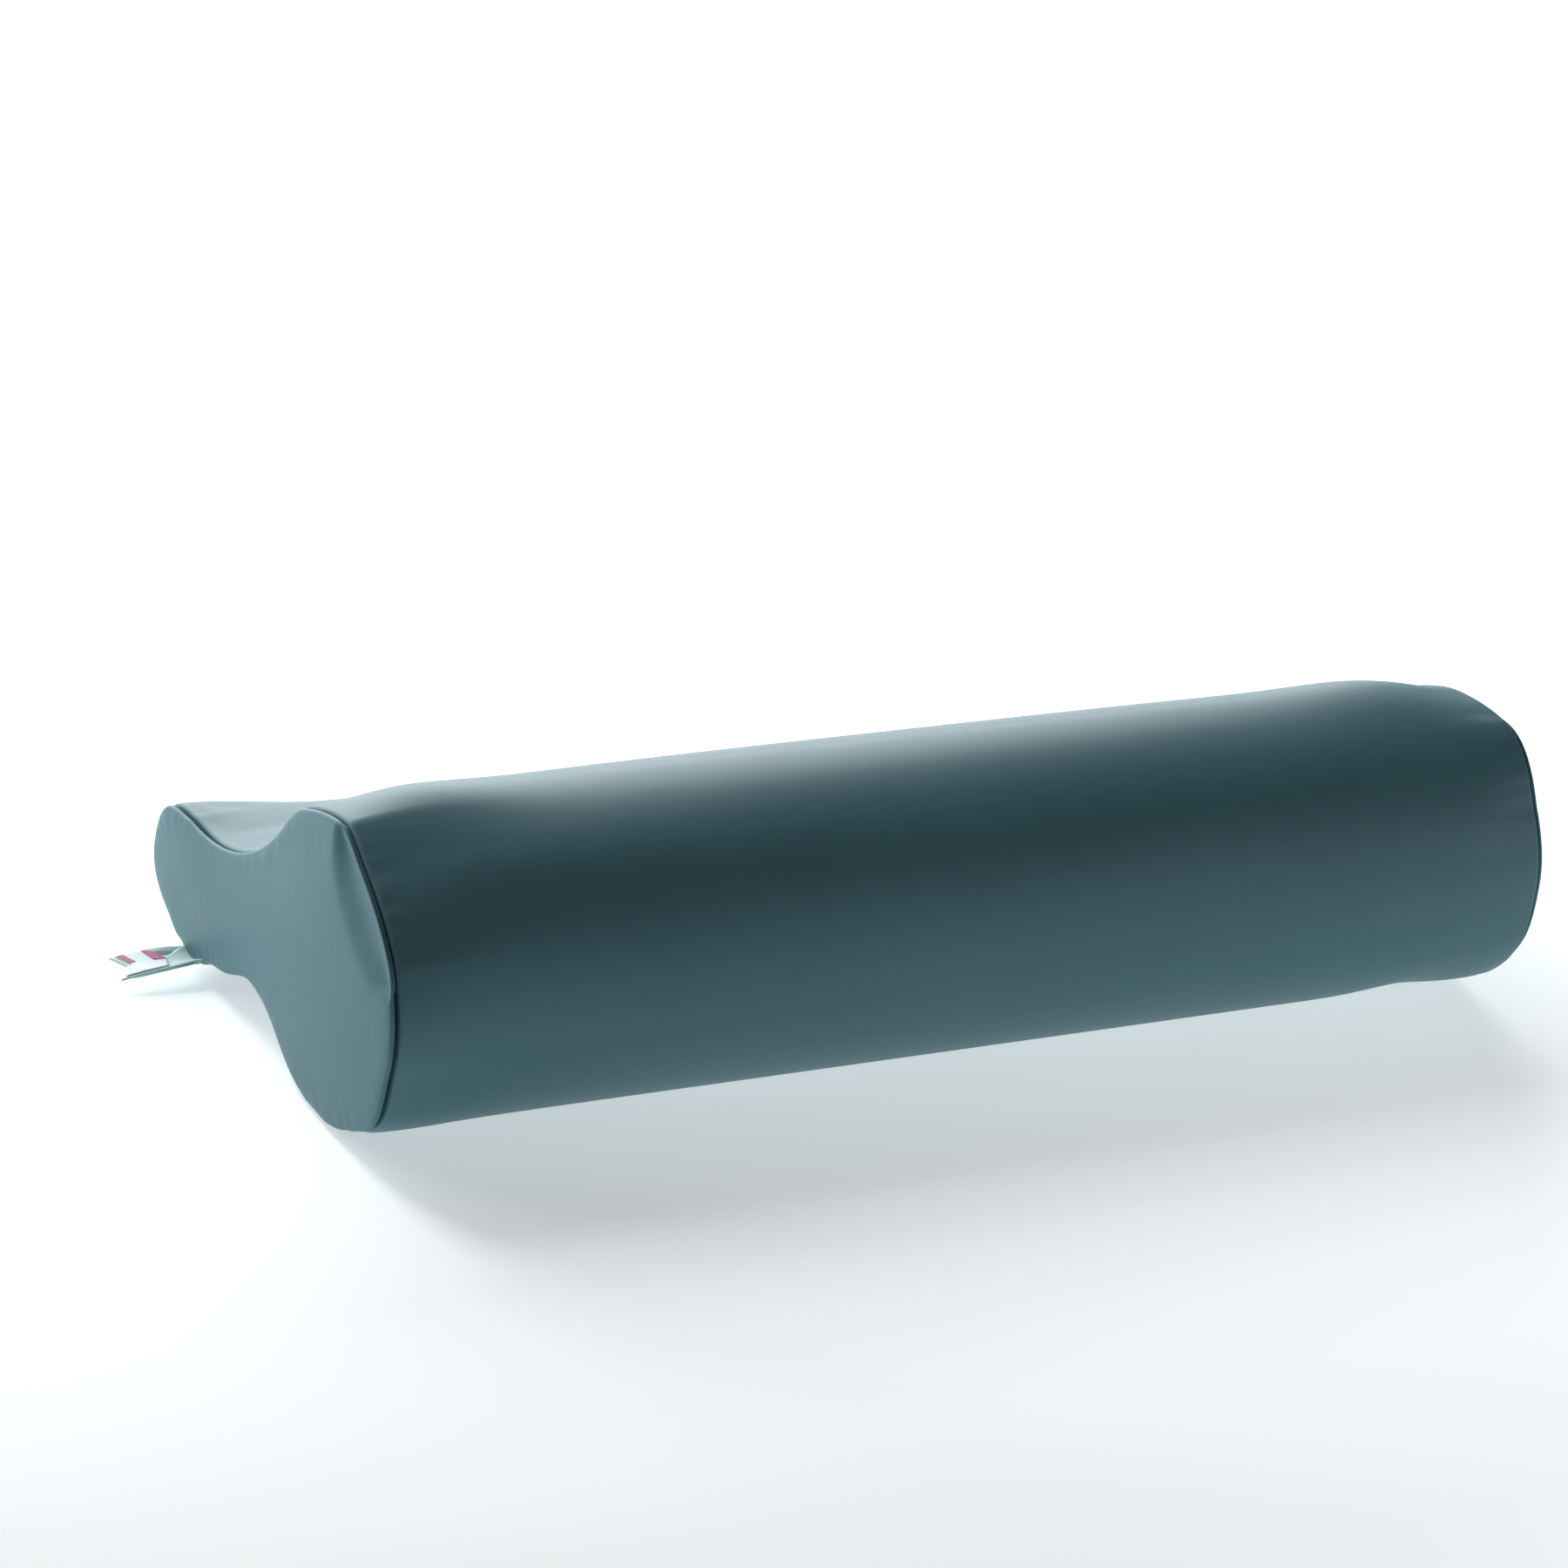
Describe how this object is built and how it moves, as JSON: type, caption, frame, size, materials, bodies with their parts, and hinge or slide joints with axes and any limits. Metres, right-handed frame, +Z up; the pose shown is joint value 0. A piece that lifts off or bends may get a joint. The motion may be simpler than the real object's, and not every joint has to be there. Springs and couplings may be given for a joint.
{
  "type": "bolster pillow",
  "caption": "Double-roll massage bolster pillow: a big and a small foam roll joined by a waist, in a zipped coated-fabric cover with two end panels and a pull tab.",
  "frame": {"origin": "middle of the flat strip that the big roll rests on, at mid-length", "axes": "+X along the rolls, away from the pull tab; +Y from the big roll to the small one; +Z up, with the pillow standing on both rolls"},
  "size_m": [0.6913, 0.2983, 0.1591],
  "materials": {
    "cover": "satin",
    "foam": "matte",
    "thread": "satin",
    "zip_tape": "matte",
    "zip_coil": "satin",
    "zip_metal": "satin",
    "tab_fabric": "satin",
    "label_satin": "satin"
  },
  "bodies": {
    "cushion": {"foam_core": "foam", "wrap_panel": "cover", "left_end_panel": "cover", "right_end_panel": "cover", "left_seam_thread": "thread", "right_seam_thread": "thread", "zip_tape_front": "zip_tape", "zip_tape_back": "zip_tape", "zip_coil_front": "zip_coil", "zip_coil_back": "zip_coil", "zip_stitching_front": "thread", "zip_stitching_back": "thread", "zip_bottom_stop": "zip_metal", "zip_top_stop_front": "zip_metal", "zip_top_stop_back": "zip_metal", "pull_tab": "tab_fabric", "woven_label": "label_satin", "label_stitching": "thread"},
    "slider": {"zip_slider": "zip_metal"},
    "pull": {"zip_pull": "zip_metal"}
  },
  "joints": [
    {"name": "zip_slide", "type": "slide", "parent": "cushion", "child": "slider", "axis": [1, 0, 0], "range_m": [0, 0.5218]},
    {"name": "pull_hinge", "type": "hinge", "parent": "slider", "child": "pull", "pos_m": [-0.2609, 0.11611, 0.02175], "axis": [0, 0.9759, -0.218], "range_deg": [-90, 85]}
  ]
}
